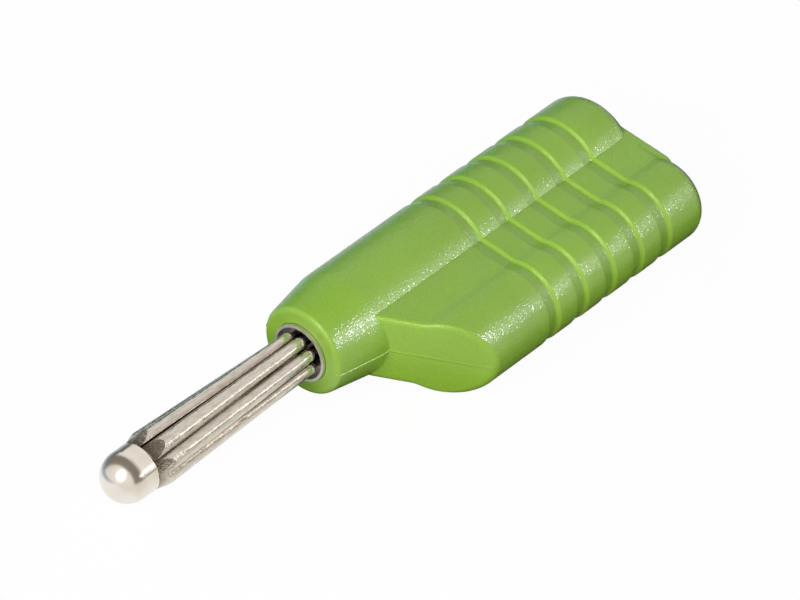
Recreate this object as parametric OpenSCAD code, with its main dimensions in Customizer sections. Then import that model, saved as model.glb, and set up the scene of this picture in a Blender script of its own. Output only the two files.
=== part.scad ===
// Stackable 4 mm bunch plug: a bunch of spring wires round a core, two-lobe moulded handle,
// axial socket behind the pin and a screw terminal for the cable in the second lobe.
// Plug frame: +Y from the pin's tip to the rear, +X towards the cable lobe, pin axis at x = z = 0,
// nose face at y = 0. The finished part lies on its two lobes.

/* [Handle] */
// Diameter of the main lobe, coaxial with the pin
main_d = 8.0; // [7.4:0.1:9]
// Length of the handle from its nose face to its rear face
handle_len = 31.3; // [30:0.1:36]
// Diameter of the nose at its front face
nose_d = 6.7; // [6.2:0.1:7.2]
// Length of the tapered nose
nose_len = 3.9; // [3:0.1:4.4]
// Rounding of the nose's front edge
nose_edge_r = 0.4; // [0.2:0.05:0.6]
// Diameter of the cable lobe
cable_lobe_d = 6.3; // [6:0.1:7]
// Distance between the axes of the two lobes
lobe_pitch = 7.1; // [6.8:0.1:8]
// Thickness of the web between the lobes
web_t = 5.66; // [4.8:0.02:5.9]
// Place of the slanted shoulder, where it leaves the side of the main lobe
shoulder_y = 4.5; // [4:0.1:5.5]
// Slant of the shoulder from square to the pin
shoulder_slant = 32.5; // [20:0.5:36]
// Rounding of the lobes' rear edges
rear_edge_r = 1.2; // [0.6:0.1:1.4]
// Rounding of the web's rear edge, much sharper than the lobes'
web_edge_r = 0.3; // [0.2:0.05:0.5]

/* [Grip grooves] */
// Number of grip grooves
groove_count = 5; // [3:1:5]
// Front lip of the first groove behind the nose face
groove_first = 14.05; // [13.6:0.05:15]
// Distance from groove to groove
groove_pitch = 3.0; // [2:0.1:3.2]
// Width of a groove at the surface
groove_w = 1.25; // [0.8:0.05:1.5]
// Depth of a groove
groove_depth = 0.22; // [0.1:0.02:0.3]
// Run of the groove's steep rear wall along the plug, which stops a pulling finger
groove_rear_run = 0.25; // [0.1:0.05:0.4]

/* [Pin] */
// Length of the pin in front of the nose face
pin_len = 19.3; // [17:0.1:20]
// Diameter of the domed head
head_d = 3.72; // [3.6:0.02:3.9]
// Length of the head's barrel behind the dome
head_barrel = 1.15; // [0.9:0.05:1.6]
// Diameter of the core that carries the springs
core_d = 1.6; // [1.4:0.05:1.65]

/* [Spring wires] */
// Number of spring wires in the bunch
spring_count = 8; // [7:1:8]
// Diameter across the bunch where it is widest
bunch_d = 4.24; // [4.1:0.02:4.3]
// Diameter across the bunch at its root
root_d = 3.54; // [3.4:0.02:3.6]
// Radius of a wire's rounded face where the bunch is widest
peak_crown = 0.70; // [0.62:0.01:0.74]
// Radius of a wire's rounded face at the root
root_crown = 0.49; // [0.44:0.01:0.52]
// Distance from the head to the widest place
peak_from_head = 1.5; // [1.2:0.1:2]
// Distance of the rounded root from the nose face
root_gap = 0.65; // [0.6:0.05:1]
// Gap between neighbouring wires
spring_gap = 0.07; // [0.04:0.01:0.1]
// Lean of each wire round the bunch
spring_lean = 1.0; // [0:0.1:1.2]
// Angle of the first wire from the cable lobe's side
spring_phase = 30; // [0:1:45]
// Radius of the wires' tips under the head
tip_r = 0.2; // [0.15:0.01:0.22]
// Radius of the wires' tails in the contact body
tail_r = 0.26; // [0.2:0.01:0.28]
// Length of the tails behind the nose face
tail_len = 5.8; // [4:0.1:6.2]

/* [Contact] */
// Diameter of the collar, a cup in the nose that the wires run into
collar_d = 4.4; // [4.2:0.05:4.6]
// Length of the collar
collar_len = 2.25; // [1.8:0.05:2.6]
// Length of the collar in front of the nose face
collar_proud = 0.25; // [0.05:0.05:0.4]
// Wall of the collar's cup
collar_wall = 0.2; // [0.1:0.05:0.25]
// Depth of the collar's cup
collar_cup = 1.45; // [0.8:0.05:1.8]
// Diameter of the contact body
contact_d = 5.6; // [5.4:0.1:5.8]
// Diameter of the axial socket
socket_d = 4.04; // [4:0.01:4.1]
// Room left in the socket in front of a plug of the same kind
socket_spare = 0.6; // [0.3:0.1:1]
// Solid metal between the socket and the core's seat
socket_wall = 1.4; // [1:0.1:2.5]
// Distance of the contact body's rear end inside the handle
mouth_recess = 2.3; // [1.5:0.1:3]
// Diameter of the socket's mouth in the handle
mouth_d = 4.6; // [4.4:0.1:5]

/* [Terminal] */
// Diameter of the terminal block
block_d = 4.6; // [4.4:0.1:4.8]
// Plastic between the shoulder and the front of the terminal block
block_cover = 1.46; // [1:0.02:2]
// Length of the terminal block
block_len = 11; // [10:0.1:12]
// Diameter of the bore for the bare wire
wire_d = 2.6; // [2.2:0.1:2.8]
// Height of the wire bore over the lobe's axis
wire_lift = 0.4; // [0.3:0.05:0.5]
// Closed end of the wire bore, from the block's front
wire_end = 0.7; // [0.5:0.1:0.9]
// Diameter of the cable inlet in the handle
inlet_d = 4.2; // [3.8:0.1:4.3]
// Diameter of the clamp screw
screw_d = 3.0; // [2.5:0.1:3]
// Length of the clamp screw
screw_len = 1.55; // [1.2:0.05:1.6]
// Place of the clamp screw behind the block's front
screw_y = 2.2; // [2.1:0.1:3]
// Width of the screw's slot
slot_w = 0.5; // [0.4:0.05:0.6]
// Depth of the screw's slot
slot_depth = 0.6; // [0.4:0.05:0.8]
// Diameter of the screw's access hole under the handle
access_d = 3.5; // [3.3:0.1:3.6]
// Thickness of the pressure pad on the screw's tip
pad_t = 0.5; // [0.4:0.05:0.6]
// Diameter of the pressure pad
pad_d = 2.3; // [2:0.1:2.4]
// Thickness of the strap that joins socket and terminal
strap_t = 1.2; // [0.8:0.1:1.6]
// Width of the strap along the plug
strap_w = 5.0; // [3:0.1:6]
// Distance of the strap behind the clamp screw
strap_behind_screw = 0.9; // [0.3:0.1:1.4]
// Depth of the strap's seats in the two metal bodies
strap_seat = 0.35; // [0.25:0.05:0.4]

/* [Hidden] */
$fn = 96;
eps = 0.01;
// Room between the moulded handle and the metal in it
mould_gap = 0.03;
// Room between metal pieces that are pressed or soldered together
joint_gap = 0.02;
// Room round the clamp screw in its thread
thread_gap = 0.05;
// Room round the springs' tips and tails
spring_room = 0.05;
// Chamfer at the mouths of the socket and the inlet
lead_in = 0.3;
main_r = main_d / 2;
cable_r = cable_lobe_d / 2;
nose_taper = atan((main_r - nose_d / 2) / nose_len);
groove_places = [for (i = [0 : groove_count - 1]) groove_first + i * groove_pitch];
// Lying on both lobes, the plug is rolled until their undersides are level
rest_roll = asin((main_r - cable_r) / lobe_pitch);
place_x = (main_r - lobe_pitch * cos(rest_roll) - cable_r) / 2;
place_y = (pin_len - handle_len) / 2;
head_r = head_d / 2;
dome_y = -pin_len + head_r;
head_rear_y = dome_y + head_barrel;
peak_y = head_rear_y + peak_from_head;
root_y = -root_gap;
peak_axis_r = bunch_d / 2 - peak_crown;
root_axis_r = root_d / 2 - root_crown;
spring_tilt = atan((peak_axis_r - root_axis_r) / (root_y - peak_y));
spring_mid_y = (peak_y + root_y) / 2;
wedge_half = 180 / spring_count;
tip_seat = 0.7;
tip_end_y = head_rear_y - tip_seat;
step_y = head_rear_y + 0.15;
taper_r = head_r - 2 * spring_room;
core_room_r = core_d / 2 + spring_room;
// Sideways reach of a leaning wire at its two ends
lean_reach = (tail_len - spring_mid_y) * tan(spring_lean);
head_recess_r = peak_axis_r + (peak_y - tip_end_y) * tan(spring_tilt) + tip_r + spring_room;
tail_bore_r = norm([root_axis_r, lean_reach]) + tail_r + spring_room;
contact_r = contact_d / 2;
contact_y = collar_len - collar_proud;
contact_end_y = handle_len - mouth_recess;
socket_y = handle_len - pin_len - socket_spare;
tail_bore_end_y = tail_len + 4 * spring_room;
core_end_y = socket_y - socket_wall;
block_r = block_d / 2;
// The block stays behind the shoulder all the way to the lobe's far side
block_y = shoulder_y + (lobe_pitch + block_r - main_r) * tan(shoulder_slant) + block_cover;
block_end_y = block_y + block_len;
screw_r = screw_d / 2;
screw_place_y = block_y + screw_y;
wire_r = wire_d / 2;
pad_top_z = wire_lift - wire_r;
screw_top_z = pad_top_z - pad_t - joint_gap;
screw_end_z = screw_top_z - screw_len;
strap_x = contact_r - strap_seat;
strap_y = screw_place_y + screw_r + strap_behind_screw;
strap_end_x = lobe_pitch - block_r + strap_seat;
spring_names = [for (i = [1 : spring_count]) str("spring_wire_", i)];

// Turns a shape that stands on z into the plug frame, where it lies along y
module along_y() {
    rotate([-90, 0, 0]) children();
}

// Rolls the finished plug onto its two lobes, with the middle of its footprint at the origin
module at_rest() {
    translate([place_x, place_y, main_r]) rotate([0, rest_roll, 0]) children();
}

// Half section of a lobe from y0 to the rear, with a rounded rear edge; x is the radius, y the length
module lobe_section(r, y0, edge_r) {
    difference() {
        union() {
            translate([0, y0]) square([r, handle_len - edge_r - y0]);
            translate([0, handle_len - edge_r - eps]) square([r - edge_r, edge_r + eps]);
            intersection() {
                translate([r - edge_r, handle_len - edge_r]) circle(edge_r);
                translate([0, y0]) square([r + 1, handle_len - y0]);
            }
        }
        for (y = groove_places) translate([r, y]) groove_section();
    }
}

// A groove: from its front lip a ramp runs down to the foot of the steep rear wall; both run on past the surface
module groove_section() {
    foot_y = groove_w - groove_rear_run;
    polygon([[-groove_depth, foot_y], [groove_depth, foot_y + 2 * groove_rear_run], [groove_depth, -foot_y]]);
}

// Half section of the tapered nose, its front edge rounded by a circle that touches face and taper
module nose_section() {
    edge_x = nose_d / 2 + nose_edge_r * (tan(nose_taper) - 1 / cos(nose_taper));
    polygon([[0, 0], [edge_x, 0],
        [edge_x + nose_edge_r * cos(nose_taper), nose_edge_r * (1 - sin(nose_taper))],
        [main_r, nose_len], [main_r, nose_len + 1], [0, nose_len + 1]]);
    translate([edge_x, nose_edge_r]) circle(nose_edge_r);
}

module main_lobe() {
    along_y() rotate_extrude() {
        lobe_section(main_r, nose_len, rear_edge_r);
        nose_section();
    }
}

module cable_lobe() {
    translate([lobe_pitch, 0, 0]) along_y() rotate_extrude() lobe_section(cable_r, 0, rear_edge_r);
}

// The web is its side view, with the same grooves, drawn across between the lobes; its rear corner is
// eased into the rounded end of the cable lobe
module web() {
    corner_r = 2 * web_edge_r;
    intersection() {
        rotate([90, 0, 90]) linear_extrude(lobe_pitch) for (side = [0, 1]) mirror([0, side])
            rotate([0, 0, 90]) mirror([0, 1]) lobe_section(web_t / 2, 0, web_edge_r);
        translate([0, 0, -main_d / 2]) linear_extrude(main_d) {
            translate([-eps, -eps]) square([lobe_pitch + 2 * eps, handle_len - corner_r + eps]);
            translate([-eps, 0]) square([lobe_pitch - corner_r + eps, handle_len + eps]);
            translate([lobe_pitch - corner_r, handle_len - corner_r]) circle(corner_r);
        }
    }
}

// Everything in front of the slanted shoulder
module shoulder_cut() {
    reach = 4 * main_d;
    translate([main_r, shoulder_y, 0]) rotate([0, 0, shoulder_slant])
        translate([-reach / 2, -reach, -reach / 2]) cube(reach);
}

module handle_outside() {
    main_lobe();
    difference() {
        union() {
            cable_lobe();
            web();
        }
        shoulder_cut();
    }
}

module strap_box(room) {
    translate([strap_x - room, strap_y - room, -strap_t / 2 - room])
        cube([strap_end_x - strap_x + 2 * room, strap_w + 2 * room, strap_t + 2 * room]);
}

module handle_hollow() {
    along_y() {
        translate([0, 0, -eps]) cylinder(r = collar_d / 2 + mould_gap, h = contact_y + 2 * eps);
        translate([0, 0, contact_y - mould_gap])
            cylinder(r = contact_r + mould_gap, h = contact_end_y - contact_y + 2 * mould_gap);
        translate([0, 0, contact_end_y]) cylinder(d = mouth_d, h = mouth_recess + eps);
        translate([0, 0, handle_len - lead_in])
            cylinder(r1 = mouth_d / 2, r2 = mouth_d / 2 + lead_in + eps, h = lead_in + eps);
    }
    strap_box(mould_gap);
    translate([lobe_pitch, 0, 0]) {
        along_y() {
            translate([0, 0, block_y - mould_gap])
                cylinder(r = block_r + mould_gap, h = block_len + 2 * mould_gap);
            translate([0, 0, block_end_y]) cylinder(d = inlet_d, h = handle_len - block_end_y + eps);
            translate([0, 0, handle_len - lead_in])
                cylinder(r1 = inlet_d / 2, r2 = inlet_d / 2 + lead_in + eps, h = lead_in + eps);
        }
        translate([0, screw_place_y, -cable_r - 1]) cylinder(d = access_d, h = cable_r + 1);
    }
}

module handle() {
    color("#86a845") difference() {
        handle_outside();
        handle_hollow();
    }
}

// Domed head, hollowed behind for the springs' tips, on the core that runs into the contact body
module head_pin() {
    color("#c9c4ba") along_y() {
        difference() {
            union() {
                translate([0, 0, dome_y]) intersection() {
                    sphere(head_r);
                    translate([0, 0, -head_r]) cylinder(r = head_d, h = head_r);
                }
                translate([0, 0, dome_y]) cylinder(r = head_r, h = head_barrel);
            }
            translate([0, 0, tip_end_y - spring_room]) cylinder(r = head_recess_r, h = head_barrel);
        }
        translate([0, 0, tip_end_y - 2 * spring_room])
            cylinder(d = core_d, h = core_end_y - tip_end_y + 2 * spring_room);
    }
}

// Half section of one wire about its own axis, which starts at the widest place
module wire_section() {
    intersection() {
        union() {
            polygon([[0, tip_end_y], [tip_r, tip_end_y], [tip_r, step_y - 0.1], [peak_crown, step_y],
                [peak_crown, peak_y], [root_crown, root_y], [0, root_y]]);
            translate([0, root_y]) circle(root_crown + 0.02);
            translate([0, root_y]) square([tail_r, tail_len - root_y]);
        }
        translate([0, tip_end_y - 1]) square([2 * peak_crown, tail_len - tip_end_y + 2]);
    }
}

// The cone about the pin's axis that all the wires' front ends are ground to
module ground_front() {
    rotate_extrude() polygon([[0, tip_end_y - 1], [taper_r, tip_end_y - 1], [taper_r, step_y],
        [bunch_d / 2, peak_y], [bunch_d, peak_y], [bunch_d, tail_len + 1], [0, tail_len + 1]]);
}

// One wire: tapered from the widest place to the root, its flanks cut flat against its neighbours
module spring_wire(index) {
    apex = spring_gap / 2 / sin(wedge_half);
    reach = 2 * bunch_d;
    angle = spring_phase + index * 360 / spring_count;
    color("#cfcac0") along_y() rotate([0, 0, -angle]) difference() {
        translate([0, 0, spring_mid_y]) rotate([spring_lean, 0, 0]) translate([0, 0, -spring_mid_y])
            intersection() {
                translate([peak_axis_r, 0, peak_y]) rotate([0, -spring_tilt, 0]) translate([0, 0, -peak_y])
                    rotate_extrude() wire_section();
                translate([apex, 0, tip_end_y - 1]) linear_extrude(tail_len - tip_end_y + 2)
                    polygon([[0, 0], [reach, -reach * tan(wedge_half)], [reach, reach * tan(wedge_half)]]);
                ground_front();
            }
        translate([0, 0, tip_end_y - 1]) cylinder(r = core_room_r, h = tail_len - tip_end_y + 2);
    }
}

module collar() {
    color("#bdb9b0") along_y() translate([0, 0, -collar_proud]) difference() {
        cylinder(d = collar_d, h = collar_len);
        translate([0, 0, -eps]) cylinder(r = collar_d / 2 - collar_wall, h = collar_cup + eps);
        translate([0, 0, -eps]) cylinder(r = tail_bore_r, h = collar_len + 2 * eps);
    }
}

// Turned body: tails and core are held in front, the rear is the socket
module contact_body() {
    color("#b8b2a4") difference() {
        along_y() difference() {
            translate([0, 0, contact_y]) cylinder(r = contact_r, h = contact_end_y - contact_y);
            translate([0, 0, contact_y - eps])
                cylinder(r = tail_bore_r, h = tail_bore_end_y - contact_y + eps);
            translate([0, 0, tail_bore_end_y - eps])
                cylinder(r = core_d / 2 + joint_gap, h = core_end_y - tail_bore_end_y + joint_gap + eps);
            translate([0, 0, socket_y]) cylinder(d = socket_d, h = contact_end_y - socket_y + eps);
            translate([0, 0, contact_end_y - lead_in])
                cylinder(r1 = socket_d / 2, r2 = socket_d / 2 + lead_in + eps, h = lead_in + eps);
        }
        strap_box(joint_gap);
    }
}

module bridge_strap() {
    color("#b59a5a") strap_box(0);
}

// Turned block with the wire bore from behind and the screw's thread from below
module terminal_block() {
    color("#b59a5a") difference() {
        translate([lobe_pitch, 0, 0]) difference() {
            along_y() translate([0, 0, block_y]) cylinder(r = block_r, h = block_len);
            translate([0, 0, wire_lift]) along_y()
                translate([0, 0, block_y + wire_end]) cylinder(r = wire_r, h = block_len);
            translate([0, screw_place_y, -block_d])
                cylinder(r = screw_r + thread_gap, h = block_d + wire_lift);
        }
        strap_box(joint_gap);
    }
}

module pressure_pad() {
    color("#c2beb6") translate([lobe_pitch, screw_place_y, pad_top_z - pad_t])
        cylinder(d = pad_d, h = pad_t);
}

module clamp_screw() {
    color("#c2beb6") translate([lobe_pitch, screw_place_y, screw_end_z]) difference() {
        cylinder(r = screw_r, h = screw_len);
        translate([-screw_d, -slot_w / 2, -eps]) cube([2 * screw_d, slot_w, slot_depth + eps]);
    }
}

at_rest() handle();
at_rest() head_pin();
for (i = [0 : spring_count - 1])
    at_rest() spring_wire(i);
at_rest() collar();
at_rest() contact_body();
at_rest() bridge_strap();
at_rest() terminal_block();
at_rest() pressure_pad();
at_rest() clamp_screw();
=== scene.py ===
"""Looks of the stackable bunch plug: the moulded handle, the metal's finishes and the studio.

Lengths in the property groups are metres. Shapes are drawn in millimetres in the plug's own frame
(+Y from the pin's tip to the rear, +X towards the cable lobe) and laid down at the end.
"""

import math

import bmesh
import bpy
from bpy.props import FloatProperty, FloatVectorProperty, IntProperty, PointerProperty
from mathutils import Matrix, Quaternion, Vector


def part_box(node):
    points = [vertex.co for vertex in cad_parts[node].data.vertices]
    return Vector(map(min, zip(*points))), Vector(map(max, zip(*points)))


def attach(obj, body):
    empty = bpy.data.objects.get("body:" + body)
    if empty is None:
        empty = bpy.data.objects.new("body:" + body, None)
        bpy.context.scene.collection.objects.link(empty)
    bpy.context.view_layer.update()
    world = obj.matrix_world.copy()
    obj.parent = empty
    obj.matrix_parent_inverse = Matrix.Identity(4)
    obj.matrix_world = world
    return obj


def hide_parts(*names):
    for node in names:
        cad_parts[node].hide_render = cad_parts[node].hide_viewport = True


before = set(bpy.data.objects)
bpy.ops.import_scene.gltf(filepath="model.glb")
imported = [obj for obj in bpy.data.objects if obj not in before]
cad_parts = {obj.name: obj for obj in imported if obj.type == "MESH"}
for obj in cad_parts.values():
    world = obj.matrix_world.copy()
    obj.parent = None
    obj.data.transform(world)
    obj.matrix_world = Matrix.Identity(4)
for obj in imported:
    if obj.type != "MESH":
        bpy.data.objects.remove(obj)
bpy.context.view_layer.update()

bl_info = {
    "name": "Bunch plug",
    "version": (1, 0, 0),
    "blender": (4, 5, 0),
    "location": "View3D > Sidebar > Plug",
    "description": "Stackable 4 mm bunch plug with a two-lobe moulded handle, and a studio for it",
    "category": "Object",
}

MM = 1000.0
SHARP = math.radians(30)
# Keeps apart, in millimetres, rear faces that would coincide in a boolean.
APART = 0.002
# How far a cutter runs past the face it cuts, in millimetres.
OVER = 1.0


def length(label, text, default):
    """A length property in metres."""
    return FloatProperty(name=label, description=text, default=default, min=0.0, unit="LENGTH", precision=5)


def colour(label, text, default):
    """A colour property, written as linear light."""
    return FloatVectorProperty(name=label, description=text, default=default, size=3, min=0.0, max=1.0,
                               subtype="COLOR")


class PlugHandleSizes(bpy.types.PropertyGroup):
    """Sizes of the moulded handle."""

    main_r: length("Main lobe", "Radius of the lobe round the pin's axis", 0.0040)
    cable_r: length("Cable lobe", "Radius of the lobe that takes the cable", 0.00315)
    pitch: length("Pitch", "Distance between the axes of the lobes", 0.0071)
    web_half: length("Web", "Half the thickness of the web", 0.00283)
    valley_r: length("Valley", "Radius of the soft valley between web and cable lobe", 0.0015)
    handle_len: length("Length", "Length from the nose face to the rear face", 0.0313)
    nose_r: length("Nose", "Radius of the nose at its front face", 0.00335)
    nose_len: length("Nose length", "Length of the tapered nose", 0.0039)
    nose_edge: length("Nose edge", "Rounding of the nose's front edge", 0.00045)
    rear_edge: length("Rear edge", "Rounding of the lobes' rear edges", 0.0012)
    web_edge: length("Web edge", "Rounding of the web's rear edge", 0.0003)
    ease_across: length("Ease across", "Easing of the web's rear corner across the pin's axis", 0.0020)
    ease_along: length("Ease along", "Easing of the web's rear corner along the pin's axis", 0.0009)
    shoulder: length("Shoulder", "Place of the slanted shoulder beside the main lobe", 0.0045)
    slant: FloatProperty(name="Slant", description="Slant of the shoulder from square to the pin",
                         default=math.radians(32.5), subtype="ANGLE")
    shoulder_edge: length("Shoulder edge", "Rounding of the shoulder's outer edge", 0.00042)
    groove_first: length("First groove", "Front lip of the first grip groove", 0.01405)
    groove_pitch: length("Groove pitch", "Distance from groove to groove", 0.0030)
    groove_w: length("Groove width", "Width of a groove at the surface", 0.00125)
    groove_depth: length("Groove depth", "Depth of a groove", 0.00022)
    seam_w: length("Seam width", "Width of the mould's parting line", 0.00014)
    seam_h: length("Seam height", "Height of the mould's parting line", 0.00005)
    groove_count: IntProperty(name="Grooves", description="Number of grip grooves", default=5, min=0, max=5)


class PlugRoomSizes(bpy.types.PropertyGroup):
    """Sizes of the handle's rooms for the metal and the cable; places are measured from the nose face."""

    front_r: length("Front opening", "Radius of the opening in the nose face", 0.00224)
    collar_r: length("Collar", "Radius of the collar's seat", 0.00222)
    collar_len: length("Collar length", "Depth of the collar's seat", 0.00197)
    body_r: length("Contact body", "Radius of the room round the contact body", 0.00283)
    rear_wall: length("Rear wall", "Thickness of the wall behind the contact body", 0.00227)
    socket_r: length("Socket", "Radius of the socket's mouth", 0.0023)
    inlet_r: length("Inlet", "Radius of the cable's inlet", 0.0021)
    flare: length("Flare", "Chamfer of the two mouths in the rear face", 0.0003)
    block_r: length("Terminal", "Radius of the room round the terminal block", 0.00233)
    block_front: length("Terminal front", "Place of the terminal room's front end", 0.00937)
    block_rear: length("Terminal rear", "Place of the terminal room's rear end", 0.02043)
    access_r: length("Access", "Radius of the screw's access", 0.00175)
    access_y: length("Access place", "Place of the screw's access", 0.0116)
    strap_w: length("Strap width", "Width of the strap's room, from lobe to lobe", 0.00276)
    strap_len: length("Strap length", "Length of the strap's room along the pin's axis", 0.00506)
    strap_h: length("Strap height", "Height of the strap's room", 0.00126)
    strap_x: length("Strap offset", "Distance of the strap's middle from the pin's axis", 0.0038)
    strap_y: length("Strap place", "Place of the strap's middle", 0.0165)


class PlugFinishColours(bpy.types.PropertyGroup):
    """Colours of the finishes, as linear light."""

    green: colour("Green", "Moulded handle", (0.222, 0.402, 0.034))
    head: colour("Head", "Polished nickel of the head", (0.83, 0.785, 0.72))
    spring: colour("Spring", "Nickel of the spring wires", (0.70, 0.66, 0.60))
    body: colour("Body", "Dull nickel of the collar, contact body and terminal", (0.78, 0.76, 0.72))
    brass: colour("Brass", "Bare brass of the strap", (0.60, 0.43, 0.16))
    steel: colour("Steel", "Zinc-plated steel of the screw and its pad", (0.55, 0.56, 0.57))


class PlugStageSettings(bpy.types.PropertyGroup):
    """Camera and light of the studio."""

    azimuth: FloatProperty(name="Azimuth", description="Camera's turn from the front towards the cable lobe",
                           default=math.radians(41.36), subtype="ANGLE")
    elevation: FloatProperty(name="Elevation", description="Camera's height over the floor as an angle",
                             default=math.radians(39.30), subtype="ANGLE")
    distance: length("Distance", "Camera's distance from the nose", 0.5)
    focal: FloatProperty(name="Focal length", description="Focal length in millimetres on a 36 mm sensor",
                         default=332.1, min=1.0)
    roll: FloatProperty(name="Roll", description="Camera's turn about its line of sight",
                        default=math.radians(0.83), subtype="ANGLE")
    key_power: FloatProperty(name="Key", description="Power of the long strip at the right rear, in watts",
                             default=1.75, min=0.0)
    core_power: FloatProperty(name="Key core", description="Power of the small lamp by the strip, in watts",
                              default=1.5, min=0.0)
    front_power: FloatProperty(name="Front", description="Power of the soft box in front, in watts",
                               default=6.4, min=0.0)
    side_power: FloatProperty(name="Side", description="Power of the soft box at the right, in watts",
                              default=1.1, min=0.0)
    fill_power: FloatProperty(name="Fill", description="Power of the soft box at the left, in watts",
                              default=1.5, min=0.0)
    sky: FloatProperty(name="Sky", description="Strength of the light from all round", default=0.14, min=0.0)


def rest_matrix(sizes):
    """Lays the plug, drawn in millimetres in its own frame, on its two lobes in the row's frame."""
    roll = math.asin((sizes.main_r - sizes.cable_r) / sizes.pitch)
    low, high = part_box("handle")
    nose_y = high.y - sizes.handle_len
    place = Vector((low.x + sizes.main_r, nose_y, sizes.main_r))
    return Matrix.Translation(place) @ Matrix.Rotation(roll, 4, "Y") @ Matrix.Scale(1 / MM, 4)


def mesh_object(name, bm):
    """A linked object with the bmesh's mesh; the bmesh is freed."""
    mesh = bpy.data.meshes.new(name)
    bm.to_mesh(mesh)
    bm.free()
    obj = bpy.data.objects.new(name, mesh)
    bpy.context.scene.collection.objects.link(obj)
    return obj


def close_shell(bm):
    """Merges seams and poles and turns the faces outwards."""
    bmesh.ops.remove_doubles(bm, verts=bm.verts, dist=0.0005)
    bmesh.ops.dissolve_degenerate(bm, edges=bm.edges, dist=0.0005)
    bmesh.ops.recalc_face_normals(bm, faces=bm.faces)


def combine(obj, tool, operation):
    """Cuts or joins obj with tool by an exact boolean, and removes tool."""
    cut = obj.modifiers.new("cut", "BOOLEAN")
    cut.object = tool
    cut.operation = operation
    cut.solver = "EXACT"
    graph = bpy.context.evaluated_depsgraph_get()
    mesh = bpy.data.meshes.new_from_object(obj.evaluated_get(graph))
    obj.modifiers.clear()
    old = obj.data
    obj.data = mesh
    bpy.data.meshes.remove(old)
    bpy.data.objects.remove(tool)


def lathe(name, outline, centre=(0.0, 0.0), steps=120):
    """Spins an outline of (length along y, radius) about the axis at centre (x, z)."""
    bm = bmesh.new()
    verts = [bm.verts.new((centre[0] + r, y, centre[1])) for y, r in outline]
    edges = [bm.edges.new(pair) for pair in zip(verts, verts[1:])]
    bmesh.ops.spin(bm, geom=verts + edges, cent=(centre[0], 0, centre[1]), axis=(0, 1, 0),
                   angle=math.tau, steps=steps, use_merge=True, use_duplicate=False)
    close_shell(bm)
    return mesh_object(name, bm)


def groove_stations(sizes):
    """(place along y, depth) through every grip groove: front lip, ramp down, steep wall up, rounded lip."""
    width = sizes.groove_w * MM
    depth = sizes.groove_depth * MM
    front = [(-0.05, 0.0), (-0.01, 0.004), (0.03, 0.035), (0.08, 0.08)]
    rear = [(-0.34, 0.91), (-0.29, 0.955), (-0.25, 0.945), (-0.20, 0.80), (-0.07, 0.28), (-0.02, 0.10),
            (0.03, 0.02), (0.09, 0.0)]
    stations = []
    for index in range(sizes.groove_count):
        lip = (sizes.groove_first + index * sizes.groove_pitch) * MM
        stations += [(lip + run, share * depth) for run, share in front]
        stations += [(lip + width + run, share * depth) for run, share in rear]
    return stations


def edge_stations(radius, steps):
    """(distance from the face, inset) round an edge, from the face outwards."""
    angles = [math.pi / 2 * i / steps for i in range(steps + 1)]
    return [(radius * (1 - math.sin(a)), radius * (1 - math.cos(a))) for a in reversed(angles)]


def main_lobe(sizes):
    """Nose and main lobe as one turned solid."""
    radius = sizes.main_r * MM
    end = sizes.handle_len * MM
    nose_r = sizes.nose_r * MM
    nose_len = sizes.nose_len * MM
    edge = sizes.nose_edge * MM
    taper = math.atan((radius - nose_r) / nose_len)
    centre_r = nose_r + edge * (math.tan(taper) - 1 / math.cos(taper))
    outline = [(0.0, 0.0)]
    steps = 8
    for i in range(steps + 1):
        a = (math.pi / 2 - taper) * i / steps
        outline.append((edge * (1 - math.cos(a)), centre_r + edge * math.sin(a)))
    softened = ((0.90, 0.0), (0.97, 0.004), (1.03, 0.012), (1.10, 0.004))
    for share, drop in softened:
        y = nose_len * share
        outline.append((y, min(nose_r + y * math.tan(taper), radius) - drop))
    outline += [(y, radius - depth) for y, depth in groove_stations(sizes)]
    for back, inset in reversed(edge_stations(sizes.rear_edge * MM, 10)):
        outline.append((end - back, radius - inset))
    outline.append((end, 0.0))
    return lathe("main_lobe", outline)


def side_section(bm, sizes, inset):
    """Edges of the closed section of web and cable lobe, drawn in by inset, at y = 0."""
    lobe_x = sizes.pitch * MM
    radius = sizes.cable_r * MM - inset
    web = sizes.web_half * MM - inset
    valley = sizes.valley_r * MM + inset
    rise = web + valley
    valley_x = lobe_x - math.sqrt((radius + valley) ** 2 - rise ** 2)
    turn = math.atan2(lobe_x - valley_x, rise)
    inside_x = 1.5
    start = bm.verts.new((inside_x, 0, web))
    first = bm.verts.new((valley_x, 0, web))
    edges = [bm.edges.new((start, first))]
    last = first
    arcs = (((valley_x, 0, rise), -turn, 6), ((lobe_x, 0, 0), math.pi + 2 * turn, 72),
            ((valley_x, 0, -rise), -turn, 6))
    for centre, angle, steps in arcs:
        before = set(bm.edges)
        spun = bmesh.ops.spin(bm, geom=[last], cent=centre, axis=(0, 1, 0), angle=angle, steps=steps,
                              use_merge=False, use_duplicate=False)
        last = [item for item in spun["geom_last"] if isinstance(item, bmesh.types.BMVert)][0]
        edges += [e for e in bm.edges if e not in before]
    foot = bm.verts.new((inside_x, 0, -web))
    edges.append(bm.edges.new((last, foot)))
    edges.append(bm.edges.new((foot, start)))
    return edges


def loft(name, bm, rings):
    """Joins closed rings of edges to a solid with a cap at each end."""
    for near, far in zip(rings, rings[1:]):
        bmesh.ops.bridge_loops(bm, edges=near + far)
    for ring in (rings[0], rings[-1]):
        bmesh.ops.contextual_create(bm, geom=ring)
    close_shell(bm)
    return mesh_object(name, bm)


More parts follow.
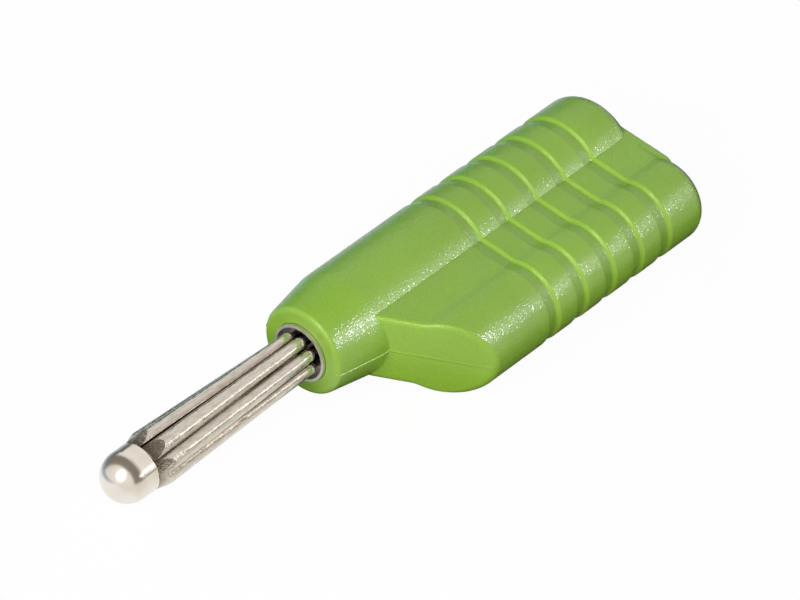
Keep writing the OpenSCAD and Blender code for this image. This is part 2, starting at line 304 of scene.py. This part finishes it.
def cable_side(sizes):
    """Web and cable lobe as one lofted solid behind the slanted shoulder."""
    end = sizes.handle_len * MM - APART
    slope = math.tan(sizes.slant)
    base = (sizes.shoulder - sizes.main_r * slope) * MM
    loops = [(base + away, inset, slope) for away, inset in edge_stations(sizes.shoulder_edge * MM, 7)]
    loops += [(y, depth, 0.0) for y, depth in groove_stations(sizes)]
    loops += [(end - back, inset, 0.0) for back, inset in reversed(edge_stations(sizes.rear_edge * MM, 10))]
    bm = bmesh.new()
    rings = []
    for y, inset, shear in loops:
        edges = side_section(bm, sizes, inset)
        ring = list({v for e in edges for v in e.verts})
        slanted = Matrix(((1, 0, 0, 0), (shear, 1, 0, 0), (0, 0, 1, 0), (0, 0, 0, 1)))
        bmesh.ops.transform(bm, matrix=Matrix.Translation((0, y, 0)) @ slanted, verts=ring)
        rings.append(edges)
    return loft("cable_side", bm, rings)


def web_end(sizes):
    """Square-cut rear end of the web, its far corner eased into the cable lobe's rounded end."""
    end = sizes.handle_len * MM - APART
    edge = sizes.web_edge * MM
    # The first share lies behind the last groove; from 0 to 1 the corner is eased.
    shares = (-3.0, -0.2, 0.0, 0.15, 0.3, 0.45, 0.55, 0.65, 0.72, 0.8, 0.86, 0.91, 0.95, 0.98, 0.995, 1.0)
    bm = bmesh.new()
    rings = []
    for share in shares:
        back = sizes.ease_along * MM * (1 - share)
        corner = sizes.ease_across * MM * (1 - math.sqrt(1 - max(share, 0.0) ** 2))
        rise = max(1 - back / edge, 0.0)
        half = sizes.web_half * MM - edge * (1 - math.sqrt(1 - rise ** 2))
        far = sizes.pitch * MM - corner
        corners = ((0, half), (far, half), (far, -half), (0, -half))
        verts = [bm.verts.new((x, end - back, z)) for x, z in corners]
        rings.append([bm.edges.new(pair) for pair in zip(verts, verts[1:] + verts[:1])])
    return loft("web_end", bm, rings)


def flared_mouth(sizes, rooms, radius):
    """End of an outline that leaves the rear face through a chamfer."""
    end = sizes.handle_len * MM
    flare = rooms.flare * MM
    return [(end - flare, radius), (end, radius + flare), (end + OVER, radius + flare), (end + OVER, 0.0)]


def pin_room(sizes, rooms):
    """Outline of the room round the pin: front opening, collar's seat, contact body and socket's mouth."""
    lead = 0.03
    collar_end = rooms.collar_len * MM
    body_end = (sizes.handle_len - rooms.rear_wall) * MM
    front_r = rooms.front_r * MM
    collar_r = rooms.collar_r * MM
    body_r = rooms.body_r * MM
    socket_r = rooms.socket_r * MM
    return [(-OVER, 0.0), (-OVER, front_r), (0.0, front_r), (lead, collar_r), (collar_end, collar_r),
            (collar_end, body_r), (body_end, body_r), (body_end, socket_r),
            *flared_mouth(sizes, rooms, socket_r)]


def cable_room(sizes, rooms):
    """Outline of the room round the cable's axis: terminal block and inlet."""
    front = rooms.block_front * MM
    rear = rooms.block_rear * MM
    block_r = rooms.block_r * MM
    inlet_r = rooms.inlet_r * MM
    return [(front, 0.0), (front, block_r), (rear, block_r), (rear, inlet_r),
            *flared_mouth(sizes, rooms, inlet_r)]


def hollows(sizes, rooms):
    """Cutters for the rooms round the metal, the mouths, the screw's access and the strap."""
    lobe_x = sizes.pitch * MM
    tools = [lathe("pin_room", pin_room(sizes, rooms)),
             lathe("cable_room", cable_room(sizes, rooms), (lobe_x, 0.0))]
    access_r = rooms.access_r * MM
    reach = 3.0
    bm = bmesh.new()
    bmesh.ops.create_cone(bm, cap_ends=True, segments=64, radius1=access_r, radius2=access_r, depth=reach,
                          matrix=Matrix.Translation((lobe_x, rooms.access_y * MM, -reach)))
    tools.append(mesh_object("screw_access", bm))
    strap = Vector((rooms.strap_w, rooms.strap_len, rooms.strap_h)) * MM
    middle = Vector((rooms.strap_x, rooms.strap_y, 0.0)) * MM
    bm = bmesh.new()
    bmesh.ops.create_cube(bm, size=1.0)
    bmesh.ops.scale(bm, vec=strap, verts=bm.verts)
    bmesh.ops.translate(bm, vec=middle, verts=bm.verts)
    tools.append(mesh_object("strap_room", bm))
    return tools


def raise_parting_line(obj, sizes):
    """A fine ridge round the outside where the mould's halves met: full height on the nose, lower on the
    shoulder, low elsewhere.
    """
    half_width = sizes.seam_w * MM / 2
    # Both rooms lie within room_r of their axes, and the cable's starts behind room_y.
    room_r = 2.9
    room_y = 9.0
    trim_y = 11.0
    front_y = 0.01
    rear_y = sizes.handle_len * MM - 0.4
    lobe_x = sizes.pitch * MM
    shoulder_x = lobe_x + 0.5 * sizes.cable_r * MM
    bm = bmesh.new()
    bm.from_mesh(obj.data)
    for z in (-half_width, 0.0, half_width):
        bmesh.ops.bisect_plane(bm, geom=list(bm.verts) + list(bm.edges) + list(bm.faces), dist=0.0001,
                               plane_co=(0, 0, z), plane_no=(0, 0, 1))
    bmesh.ops.recalc_face_normals(bm, faces=bm.faces)
    for v in bm.verts:
        x, y, z = v.co
        from_pin = math.hypot(x, z)
        from_cable = math.hypot(x - lobe_x, z)
        outside = from_pin > room_r and (from_cable > room_r or y < room_y)
        if abs(z) < 0.0005 and outside and front_y <= y <= rear_y:
            on_nose = from_pin < sizes.main_r * MM + 0.1 and y < trim_y
            on_shoulder = x < shoulder_x and y < trim_y
            share = 1.0 if on_nose else 0.75 if on_shoulder else 0.15
            v.co += v.normal * sizes.seam_h * MM * share
    bm.to_mesh(obj.data)
    bm.free()


def lay_down(obj, sizes):
    """Puts a piece drawn in millimetres in its place, shaded smooth apart from its sharp edges."""
    bm = bmesh.new()
    bm.from_mesh(obj.data)
    close_shell(bm)
    bmesh.ops.transform(bm, matrix=rest_matrix(sizes), verts=bm.verts)
    for face in bm.faces:
        face.smooth = True
    for edge in bm.edges:
        edge.smooth = edge.calc_face_angle(0.0) < SHARP
    bm.to_mesh(obj.data)
    bm.free()


class Nodes:
    """Builds a material's node tree in plug coordinates, in millimetres."""

    def __init__(self, name):
        self.material = bpy.data.materials.new(name)
        self.material.use_nodes = True
        self.tree = self.material.node_tree
        self.tree.nodes.clear()
        self.shader = self.add("ShaderNodeBsdfPrincipled")
        self.output = self.add("ShaderNodeOutputMaterial")
        self.link(self.shader.outputs["BSDF"], self.output.inputs["Surface"])

    def add(self, kind, **settings):
        """A new node with its settings."""
        node = self.tree.nodes.new(kind)
        for key, value in settings.items():
            setattr(node, key, value)
        return node

    def link(self, source, target):
        """Joins an output to an input."""
        self.tree.links.new(source, target)

    def set(self, **values):
        """Sets constants on the shader's sockets; an underscore stands for a space."""
        for key, value in values.items():
            self.shader.inputs[key.replace("_", " ")].default_value = value

    def plug_coordinates(self, sizes):
        """Coordinates in the plug's own frame, in millimetres."""
        place, turn, grow = rest_matrix(sizes).inverted().decompose()
        source = self.add("ShaderNodeTexCoord")
        mapping = self.add("ShaderNodeMapping")
        mapping.inputs["Location"].default_value = place
        mapping.inputs["Rotation"].default_value = turn.to_euler()
        mapping.inputs["Scale"].default_value = grow
        self.link(source.outputs["Object"], mapping.inputs["Vector"])
        return mapping.outputs["Vector"]

    def stretched(self, vector, scale):
        """The coordinates drawn out by a scale for each axis."""
        mapping = self.add("ShaderNodeMapping")
        mapping.inputs["Scale"].default_value = scale
        self.link(vector, mapping.inputs["Vector"])
        return mapping.outputs["Vector"]

    def noise(self, vector, scale, detail=2.0, rough=0.5):
        """Noise between 0 and 1, scale per millimetre."""
        node = self.add("ShaderNodeTexNoise")
        node.inputs["Scale"].default_value = scale
        node.inputs["Detail"].default_value = detail
        node.inputs["Roughness"].default_value = rough
        self.link(vector, node.inputs["Vector"])
        return node.outputs["Fac"]

    def ranged(self, value, low, high, out_low, out_high, smooth=False):
        """Maps a value from low and high to out_low and out_high, and holds it there."""
        node = self.add("ShaderNodeMapRange")
        if smooth:
            node.interpolation_type = "SMOOTHSTEP"
        limits = {"From Min": low, "From Max": high, "To Min": out_low, "To Max": out_high}
        for slot, number in limits.items():
            node.inputs[slot].default_value = number
        self.link(value, node.inputs["Value"])
        return node.outputs["Result"]

    def math(self, operation, first, second=None):
        """The result of an operation on sockets or numbers."""
        node = self.add("ShaderNodeMath", operation=operation)
        for slot, value in zip(node.inputs, (first, second)):
            if isinstance(value, (int, float)):
                slot.default_value = value
            elif value is not None:
                self.link(value, slot)
        return node.outputs["Value"]

    def blend(self, factor, first, second):
        """Mixes two colours, given as tuples or sockets."""
        node = self.add("ShaderNodeMix", data_type="RGBA")
        self.link(factor, node.inputs[0])
        for slot, value in ((node.inputs[6], first), (node.inputs[7], second)):
            if isinstance(value, (tuple, list)):
                slot.default_value = (*value, 1.0)
            else:
                self.link(value, slot)
        return node.outputs[2]

    def bump(self, height, distance, socket="Normal"):
        """Bends the shader's normal by a height; distance is in metres."""
        node = self.add("ShaderNodeBump")
        node.inputs["Distance"].default_value = distance
        self.link(height, node.inputs["Height"])
        self.link(node.outputs["Normal"], self.shader.inputs[socket])


def shade(rgb, factor):
    """A colour made lighter or darker."""
    return tuple(min(1.0, c * factor) for c in rgb)


def eroded_plastic(sizes, rgb):
    """Moulded plastic with a fine eroded grain and faint flow clouds."""
    n = Nodes("green_plastic")
    vector = n.plug_coordinates(sizes)
    clouds = n.noise(vector, 0.18, 2.0)
    n.link(n.blend(n.ranged(clouds, 0.35, 0.65, 0.0, 1.0), shade(rgb, 0.96), shade(rgb, 1.04)),
           n.shader.inputs["Base Color"])
    grain = n.noise(vector, 8.0, 1.0, 0.5)
    facets = n.noise(vector, 6.0, 0.0)
    pores = n.noise(vector, 8.0, 0.0)
    n.bump(grain, 0.000014)
    n.bump(facets, 0.000045, "Coat Normal")
    n.link(n.ranged(grain, 0.35, 0.65, 0.42, 0.34), n.shader.inputs["Roughness"])
    n.link(n.ranged(pores, 0.36, 0.58, 0.25, 1.0), n.shader.inputs["Coat Weight"])
    n.set(IOR=1.5, Specular_IOR_Level=0.42, Coat_Roughness=0.07, Coat_IOR=1.5)
    return n.material


def drawn_metal(sizes, name, rgb, rough, streak):
    """Plated or bare metal with small stains and, by the share streak, fine lines drawn along the plug."""
    n = Nodes(name)
    vector = n.plug_coordinates(sizes)
    lines = n.noise(n.stretched(vector, (1.0, 0.22, 1.0)), 9.0, 3.0, 0.6)
    stains = n.noise(vector, 0.6, 2.0, 0.5)
    tone = n.math("ADD", n.math("MULTIPLY", lines, streak), n.math("MULTIPLY", stains, 1.0 - streak))
    dull = shade(rgb, 0.95 - 0.15 * streak)
    bright = shade(rgb, 1.04)
    n.link(n.blend(n.ranged(tone, 0.35, 0.65, 0.0, 1.0), dull, bright), n.shader.inputs["Base Color"])
    n.link(n.ranged(tone, 0.3, 0.7, rough * 1.3, rough * 0.8), n.shader.inputs["Roughness"])
    n.bump(lines, 0.00002 * streak)
    n.set(Metallic=1.0)
    return n.material


def spring_nickel(sizes, name, rgb, rough):
    """Drawn and formed wire: streaked along, nicked at the tips, with painted shade in the gaps between
    wires so only the crowns keep the full colour.
    """
    n = Nodes(name)
    vector = n.plug_coordinates(sizes)
    split = n.add("ShaderNodeSeparateXYZ")
    n.link(vector, split.inputs["Vector"])
    along = split.outputs["Y"]
    squares = [n.math("POWER", split.outputs[axis], 2.0) for axis in ("X", "Z")]
    from_axis = n.math("SQRT", n.math("ADD", *squares))
    crown = n.ranged(along, -14.8, -0.65, 2.12, 1.77)
    # Painted shade between the wires: the colour turns brown and darker with depth below the crowns.
    gap_shade_mask = n.ranged(n.math("SUBTRACT", crown, from_axis), 0.06, 0.46, 0.0, 1.0, smooth=True)
    lines = n.noise(n.stretched(vector, (1.0, 0.16, 1.0)), 8.0, 3.0, 0.6)
    nicks = n.noise(n.stretched(vector, (1.0, 0.6, 1.0)), 5.0, 2.0, 0.6)
    bright = n.blend(n.ranged(lines, 0.36, 0.60, 0.0, 1.0), shade(rgb, 0.80), shade(rgb, 1.05))
    gap_shade = (0.26, 0.20, 0.14)
    n.link(n.blend(gap_shade_mask, bright, gap_shade), n.shader.inputs["Base Color"])
    n.link(n.ranged(nicks, 0.35, 0.65, rough * 0.7, rough * 1.5), n.shader.inputs["Roughness"])
    tip = n.ranged(along, -13.7, -13.2, 3.0, 1.0, smooth=True)
    n.bump(n.math("ADD", n.math("MULTIPLY", lines, 0.5), n.math("MULTIPLY", nicks, tip)), 0.000018)
    n.set(Metallic=1.0)
    return n.material


class PLUG_OT_handle(bpy.types.Operator):
    """Moulded handle: two lobes, web, slanted shoulder, grip grooves and the holes for metal and cable."""

    bl_idname = "plug.handle"
    bl_label = "Handle"

    def execute(self, context):
        sizes = context.scene.plug_handle
        rooms = context.scene.plug_rooms
        colours = context.scene.plug_finish
        handle = main_lobe(sizes)
        combine(handle, cable_side(sizes), "UNION")
        combine(handle, web_end(sizes), "UNION")
        for tool in hollows(sizes, rooms):
            combine(handle, tool, "DIFFERENCE")
        raise_parting_line(handle, sizes)
        handle.name = "moulded_handle"
        lay_down(handle, sizes)
        handle.data.materials.clear()
        handle.data.materials.append(eroded_plastic(sizes, tuple(colours.green)))
        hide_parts("handle")
        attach(handle, "plug")
        return {"FINISHED"}


class PLUG_OT_metal(bpy.types.Operator):
    """Finishes of the metal pieces."""

    bl_idname = "plug.metal"
    bl_label = "Metal"

    def execute(self, context):
        sizes = context.scene.plug_handle
        colours = context.scene.plug_finish
        head = drawn_metal(sizes, "nickel_head", tuple(colours.head), 0.20, 0.02)
        spring = spring_nickel(sizes, "nickel_spring", tuple(colours.spring), 0.15)
        body = drawn_metal(sizes, "nickel_body", tuple(colours.body), 0.45, 0.2)
        brass = drawn_metal(sizes, "bare_brass", tuple(colours.brass), 0.3, 0.4)
        steel = drawn_metal(sizes, "zinc_steel", tuple(colours.steel), 0.3, 0.2)
        finishes = {"head_pin": head, "collar": body, "contact_body": body, "bridge_strap": brass,
                    "terminal_block": body, "pressure_pad": steel, "clamp_screw": steel}
        for name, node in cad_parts.items():
            if name == "handle":
                continue
            node.data.materials.clear()
            node.data.materials.append(finishes.get(name, spring))
        return {"FINISHED"}


def mixed(tree, factor, first, second):
    """Mixes two shaders by a socket or a number."""
    node = tree.nodes.new("ShaderNodeMixShader")
    if isinstance(factor, float):
        node.inputs["Fac"].default_value = factor
    else:
        tree.links.new(factor, node.inputs["Fac"])
    tree.links.new(first, node.inputs[1])
    tree.links.new(second, node.inputs[2])
    return node.outputs["Shader"]


def floor_material(name, rgb):
    """Pale floor: white to the camera with a soft shadow left in it.

    Reflections see a painted shadow on it close to the handle, blue-grey on the left and straw-coloured on
    the right.
    """
    n = Nodes(name)
    n.tree.nodes.remove(n.shader)
    paint = n.add("ShaderNodeBsdfDiffuse")
    paint.inputs["Color"].default_value = (*rgb, 1.0)
    lit = n.add("ShaderNodeBsdfDiffuse")
    lit.inputs["Color"].default_value = (0.9, 0.9, 0.9, 1.0)
    glow = n.add("ShaderNodeEmission")
    place = n.add("ShaderNodeTexCoord")
    split = n.add("ShaderNodeSeparateXYZ")
    n.link(place.outputs["Object"], split.inputs["Vector"])
    across = split.outputs["X"]
    slanted = n.math("SUBTRACT", split.outputs["Y"], n.math("MULTIPLY", across, 0.8))
    # Painted contact shadow for reflections: the floor behind the nose and beside the handle turns dark.
    behind_nose = n.ranged(slanted, -0.008, -0.004, 0.0, 1.0, smooth=True)
    beside = n.ranged(n.math("ABSOLUTE", across), 0.010, 0.018, 1.0, 0.0, smooth=True)
    left = n.ranged(across, -0.030, -0.010, 1.0, 0.0, smooth=True)
    right = n.ranged(across, -0.003, 0.010, 0.0, 1.0, smooth=True)
    pale = (1.0, 0.99, 0.97)
    straw = (0.84, 0.82, 0.74)
    blue_grey = (0.30, 0.44, 0.54)
    painted_contact_shadow = (0.04, 0.05, 0.03)
    tint = n.blend(left, n.blend(right, pale, straw), blue_grey)
    tint = n.blend(n.math("MULTIPLY", behind_nose, beside), tint, painted_contact_shadow)
    seen = n.add("ShaderNodeEmission")
    n.link(tint, seen.inputs["Color"])
    rays = n.add("ShaderNodeLightPath")
    mirrored = mixed(n.tree, rays.outputs["Is Glossy Ray"], paint.outputs["BSDF"], seen.outputs["Emission"])
    white = mixed(n.tree, 0.96, lit.outputs["BSDF"], glow.outputs["Emission"])
    n.link(mixed(n.tree, rays.outputs["Is Camera Ray"], mirrored, white), n.output.inputs["Surface"])
    return n.material


def backdrop(tree, rgb, strength):
    """A background of one colour."""
    node = tree.nodes.new("ShaderNodeBackground")
    node.inputs["Color"].default_value = (*rgb, 1.0)
    node.inputs["Strength"].default_value = strength
    return node.outputs["Background"]


def studio_world(sky):
    """Even light from all round, white to the camera and a warm grey to reflections."""
    world = bpy.data.worlds.new("studio")
    bpy.context.scene.world = world
    world.use_nodes = True
    tree = world.node_tree
    tree.nodes.clear()
    light = backdrop(tree, (0.75, 1.0, 0.88), sky)
    white = backdrop(tree, (1.0, 1.0, 1.0), 1.0)
    grey = backdrop(tree, (0.90, 0.86, 0.82), 1.0)
    rays = tree.nodes.new("ShaderNodeLightPath")
    mirrored = mixed(tree, rays.outputs["Is Glossy Ray"], light, grey)
    output = tree.nodes.new("ShaderNodeOutputWorld")
    tree.links.new(mixed(tree, rays.outputs["Is Camera Ray"], mirrored, white), output.inputs["Surface"])


def area_light(name, place, aim, size, power, rgb, mirrored):
    """A soft box of the given (width, height) at place, turned to aim.

    A mirrored one is a strip that only the highlights show; the others are oval and only light the surfaces.
    """
    data = bpy.data.lights.new(name, "AREA")
    data.shape = "RECTANGLE" if mirrored else "ELLIPSE"
    data.size = size[0]
    data.size_y = size[1]
    data.energy = power
    data.color = rgb
    obj = bpy.data.objects.new(name, data)
    obj.location = place
    obj.rotation_euler = (aim - place).to_track_quat("-Z", "Y").to_euler()
    obj.visible_glossy = mirrored
    obj.visible_diffuse = not mirrored
    bpy.context.scene.collection.objects.link(obj)
    return obj


def as_card(obj, rgb, glow):
    """Makes a mesh a plain card that only reflections see."""
    material = bpy.data.materials.new(obj.name)
    material.use_nodes = True
    shader = material.node_tree.nodes["Principled BSDF"]
    shader.inputs["Base Color"].default_value = (*rgb, 1.0)
    shader.inputs["Roughness"].default_value = 1.0
    shader.inputs["Emission Color"].default_value = (*rgb, 1.0)
    shader.inputs["Emission Strength"].default_value = glow
    obj.data.materials.append(material)
    obj.visible_camera = False
    obj.visible_shadow = False
    obj.visible_diffuse = False


def arch(name, radius, span, rgb, glow):
    """A card bent over the plug from floor to floor, between the two places along y in span."""
    bm = bmesh.new()
    ends = [bm.verts.new((-radius, y, 0.0)) for y in span]
    edge = bm.edges.new(ends)
    bmesh.ops.spin(bm, geom=ends + [edge], cent=(0, 0, 0), axis=(0, 1, 0), angle=math.pi, steps=32,
                   use_merge=False, use_duplicate=False)
    as_card(mesh_object(name, bm), rgb, glow)


def card(name, place, aim, size, rim, rgb, glow, round_edge=False):
    """A plain card of the given size at place, turned to aim; a rim makes it an open frame of that width."""
    bm = bmesh.new()
    if round_edge:
        made = bmesh.ops.create_circle(bm, cap_ends=True, segments=48, radius=0.5)
    else:
        made = bmesh.ops.create_grid(bm, x_segments=1, y_segments=1, size=0.5)
    grow = (size[0] + 2 * rim, size[1] + 2 * rim, 1.0)
    bmesh.ops.scale(bm, vec=grow, verts=made["verts"])
    if rim:
        middle = list(bm.faces)
        bmesh.ops.inset_region(bm, faces=middle, thickness=rim)
        bmesh.ops.delete(bm, geom=middle, context="FACES_ONLY")
    turn = (aim - place).to_track_quat("-Z", "Y").to_matrix().to_4x4()
    bmesh.ops.transform(bm, matrix=Matrix.Translation(place) @ turn, verts=bm.verts)
    as_card(mesh_object(name, bm), rgb, glow)


def set_lights(stage):
    """Lamps and cards round the plug.

    The strips at the right rear light the plastic only: polished metal sees a dimmer card in their place.
    """
    aim = Vector((0, 0, 0.004))
    cool = (0.84, 0.74, 1.0)
    warm = (1.0, 0.95, 0.93)
    strip = (0.58, 0.08)
    key_place = aim + Vector((0.72, 0.60, 0.35)) * 0.6
    core_place = aim + Vector((0.86, 0.293, 0.416)) * 0.58
    fill_place = aim + Vector((-0.75, -0.20, 0.55)) * 0.7
    front_place = aim + Vector((0.25, -0.815, 0.523)) * 0.7
    side_place = aim + Vector((0.95, 0.15, 0.25)) * 0.6
    window_place = aim + Vector((0.14, -0.76, 0.60)) * 0.7
    rim_place = aim + Vector((0.80, 0.60, 0.06)) * 0.62
    left_place = aim + Vector((-0.80, 0.56, 0.14)) * 0.8
    plastic = bpy.data.collections.new("plastic_only")
    plastic.objects.link(bpy.data.objects["moulded_handle"])
    key = area_light("key", key_place, aim, strip, stage.key_power, cool, True)
    core = area_light("key_core", core_place, aim, (0.14, 0.14), stage.core_power, cool, True)
    for lamp in (key, core):
        lamp.light_linking.receiver_collection = plastic
    area_light("fill", fill_place, aim, (0.60, 0.50), stage.fill_power, (0.62, 1.0, 0.82), False)
    area_light("front", front_place, aim, (0.80, 0.60), stage.front_power, (1.0, 0.945, 0.905), False)
    area_light("side", side_place, aim, (0.30, 0.30), stage.side_power, (1.0, 1.0, 1.0), False)
    card("key_strip", key_place, aim, strip, 0.0, (1.0, 0.97, 0.92), 1.8)
    card("key_frame", key_place * 1.01, aim, strip, 0.03, (0.05, 0.045, 0.04), 0.0)
    card("window", window_place, aim, (0.50, 0.66), 0.0, warm, 1.3, round_edge=True)
    card("pane", window_place * 0.98, aim, (0.26, 0.40), 0.0, warm, 4.0, round_edge=True)
    card("rim_card", rim_place, aim, (0.80, 0.06), 0.0, (0.12, 0.11, 0.07), 1.0)
    card("left_card", left_place, aim, (0.90, 0.30), 0.0, (0.07, 0.09, 0.05), 1.0)
    arch("dark_arch", 0.75, (-0.27, 0.26), (0.15, 0.13, 0.113), 1.0)


def set_camera(stage, nose):
    """The camera at its angles and distance from the nose, turned to the middle of the picture."""
    middle = Vector((0.0004365, 0.0000917, 0.0067315))
    level = math.cos(stage.elevation)
    view = Vector((level * math.sin(stage.azimuth), -level * math.cos(stage.azimuth),
                   math.sin(stage.elevation)))
    data = bpy.data.cameras.new("camera")
    data.sensor_width = 36.0
    data.lens = stage.focal
    data.clip_start = 0.01
    camera = bpy.data.objects.new("camera", data)
    camera.location = nose + view * stage.distance
    turn = (middle - camera.location).to_track_quat("-Z", "Y") @ Quaternion((0, 0, 1), stage.roll)
    camera.rotation_euler = turn.to_euler()
    bpy.context.scene.collection.objects.link(camera)
    bpy.context.scene.camera = camera


class PLUG_OT_stage(bpy.types.Operator):
    """Floor, lights and camera."""

    bl_idname = "plug.stage"
    bl_label = "Stage"

    def execute(self, context):
        stage = context.scene.plug_stage
        bm = bmesh.new()
        bmesh.ops.create_grid(bm, x_segments=1, y_segments=1, size=1.5)
        floor = mesh_object("floor", bm)
        floor.data.materials.append(floor_material("floor_paint", (0.28, 0.28, 0.28)))
        studio_world(stage.sky)
        set_lights(stage)
        set_camera(stage, rest_matrix(context.scene.plug_handle).to_translation())
        context.scene.view_settings.view_transform = "Standard"
        return {"FINISHED"}


class PLUG_PT_sidebar(bpy.types.Panel):
    """Lists the plug's pieces and their sizes."""

    bl_idname = "PLUG_PT_sidebar"
    bl_label = "Bunch plug"
    bl_space_type = "VIEW_3D"
    bl_region_type = "UI"
    bl_category = "Plug"

    def draw(self, context):
        layout = self.layout
        for operator in OPERATORS:
            layout.operator(operator.bl_idname)
        scene = context.scene
        for group in (scene.plug_handle, scene.plug_rooms, scene.plug_finish, scene.plug_stage):
            box = layout.box()
            for key in group.bl_rna.properties.keys():
                if key not in ("rna_type", "name"):
                    box.prop(group, key)


GROUPS = (PlugHandleSizes, PlugRoomSizes, PlugFinishColours, PlugStageSettings)
OPERATORS = (PLUG_OT_handle, PLUG_OT_metal, PLUG_OT_stage)
CLASSES = GROUPS + OPERATORS + (PLUG_PT_sidebar,)


def register():
    for cls in CLASSES:
        bpy.utils.register_class(cls)
    bpy.types.Scene.plug_handle = PointerProperty(type=PlugHandleSizes)
    bpy.types.Scene.plug_rooms = PointerProperty(type=PlugRoomSizes)
    bpy.types.Scene.plug_finish = PointerProperty(type=PlugFinishColours)
    bpy.types.Scene.plug_stage = PointerProperty(type=PlugStageSettings)


def unregister():
    del bpy.types.Scene.plug_stage
    del bpy.types.Scene.plug_finish
    del bpy.types.Scene.plug_rooms
    del bpy.types.Scene.plug_handle
    for cls in reversed(CLASSES):
        bpy.utils.unregister_class(cls)


def main():
    """Builds the pieces and the stage."""
    register()
    bpy.ops.plug.handle()
    bpy.ops.plug.metal()
    bpy.ops.plug.stage()


if __name__ == "__main__":
    main()
